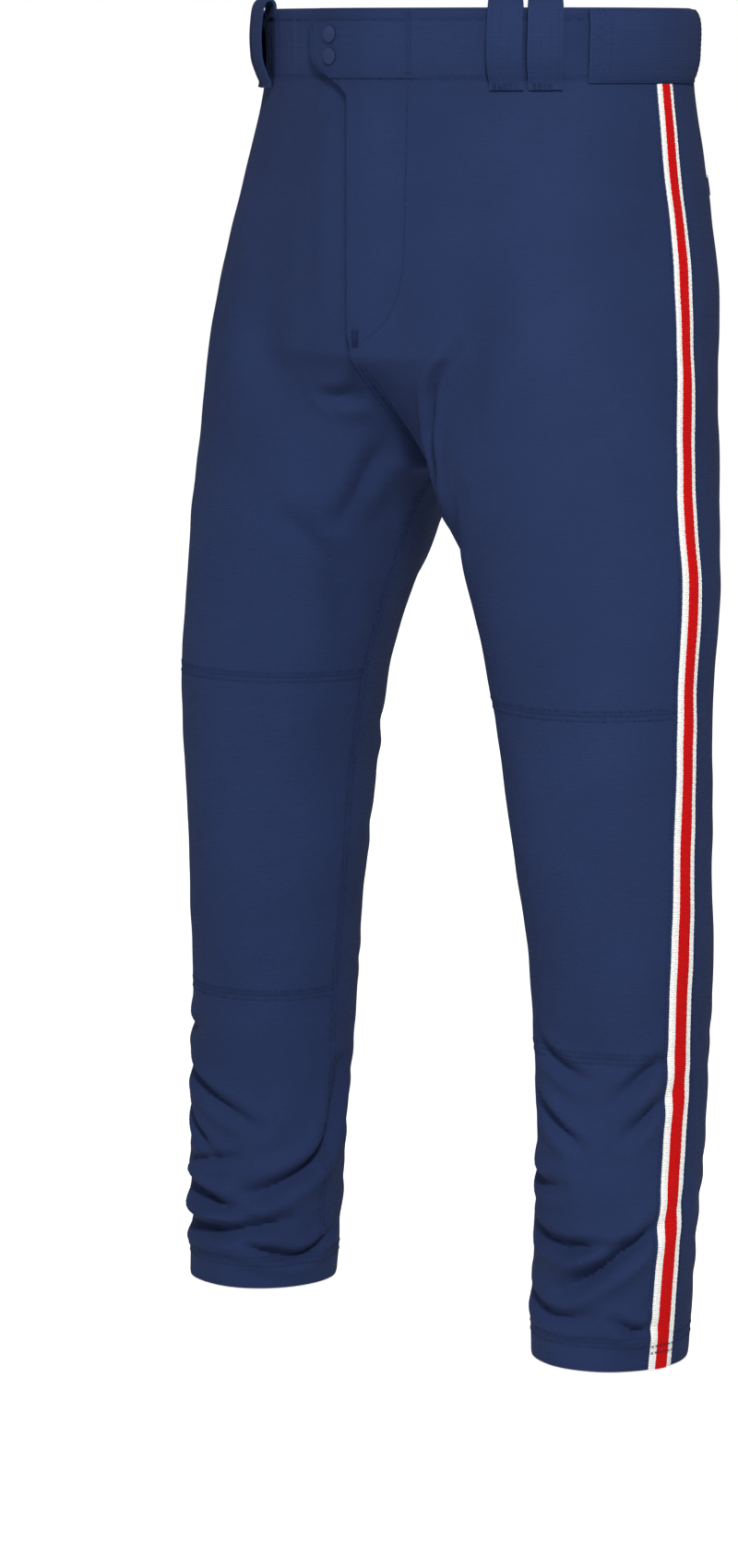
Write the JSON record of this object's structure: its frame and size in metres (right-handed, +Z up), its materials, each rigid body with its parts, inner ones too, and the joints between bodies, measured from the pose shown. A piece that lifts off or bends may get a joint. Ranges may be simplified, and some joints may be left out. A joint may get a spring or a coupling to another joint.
{
  "type": "baseball pants",
  "caption": "Full-length baseball pants with snap-tab elastic waistband, zip fly, tunnel belt loops, double knees, side braid and open hemmed bottoms.",
  "frame": {"origin": "centre of the waist opening, level with the waistband's top edge", "axes": "+Z up the wearer's body, -Y the wearer's front, +X the wearer's left"},
  "size_m": [0.4666, 0.2743, 0.949],
  "materials": {
    "navy_knit": "matte double-knit polyester",
    "navy_lining": "matte woven lining",
    "white_braid": "ribbed knitted braid",
    "red_braid": "ribbed knitted braid",
    "elastic": "knitted elastic webbing",
    "label_satin": "satin tape, blank",
    "snap_paint": "enamelled, satin",
    "snap_metal": "pressed and plated",
    "zip_metal": "die-cast and plated",
    "zip_plastic": "moulded teeth"
  },
  "bodies": {
    "root": {"front_panel_left": "navy_knit", "knee_panel_left": "navy_knit", "shin_panel_left": "navy_knit", "back_panel_left": "navy_knit", "hem_left": "navy_knit", "pocket_welt_left": "navy_knit", "waistband_left": "navy_knit", "belt_loop_left_front": "navy_knit", "belt_loop_left_side": "navy_knit", "belt_tunnel_left": "navy_knit", "knee_lining_left": "navy_lining", "pocket_bag_left": "navy_lining", "zip_tape_left": "navy_lining", "braid_tape_left": "white_braid", "braid_stripe_left": "red_braid", "zip_teeth_left": "zip_plastic", "zip_top_stop_left": "zip_metal", "front_panel_right": "navy_knit", "knee_panel_right": "navy_knit", "shin_panel_right": "navy_knit", "back_panel_right": "navy_knit", "hem_right": "navy_knit", "pocket_welt_right": "navy_knit", "waistband_right": "navy_knit", "belt_loop_right_front": "navy_knit", "belt_loop_right_side": "navy_knit", "belt_tunnel_right": "navy_knit", "knee_lining_right": "navy_lining", "pocket_bag_right": "navy_lining", "zip_tape_right": "navy_lining", "braid_tape_right": "white_braid", "braid_stripe_right": "red_braid", "zip_teeth_right": "zip_plastic", "zip_top_stop_right": "zip_metal", "belt_tunnel_back": "navy_knit", "fly_facing": "navy_lining", "fly_shield": "navy_lining", "waist_elastic": "elastic", "care_label": "label_satin", "zip_bottom_stop": "zip_metal", "snap_stud_upper": "snap_metal", "snap_stud_lower": "snap_metal"},
    "fly_cover": {"fly_overlap": "navy_knit", "snap_tab": "navy_knit", "snap_cap_upper": "snap_paint", "snap_cap_lower": "snap_paint", "snap_socket_upper": "snap_metal", "snap_socket_lower": "snap_metal"},
    "zip_slider": {"zip_slider": "zip_metal"},
    "zip_pull": {"zip_pull": "zip_metal"}
  },
  "joints": [
    {"name": "fly_cover_fold", "type": "hinge", "parent": "root", "child": "fly_cover", "pos_m": [0.05, -0.1262, 0], "axis": [0.1975, 0.0469, 0.9792], "range_deg": [0, 110]},
    {"name": "zip_slide", "type": "slide", "parent": "root", "child": "zip_slider", "axis": [0, 0, -1], "range_m": [0, 0.14]},
    {"name": "zip_pull_swing", "type": "hinge", "parent": "zip_slider", "child": "zip_pull", "pos_m": [0.012, -0.12787, -0.0682], "axis": [-1, 0, 0], "range_deg": [0, 12]}
  ]
}
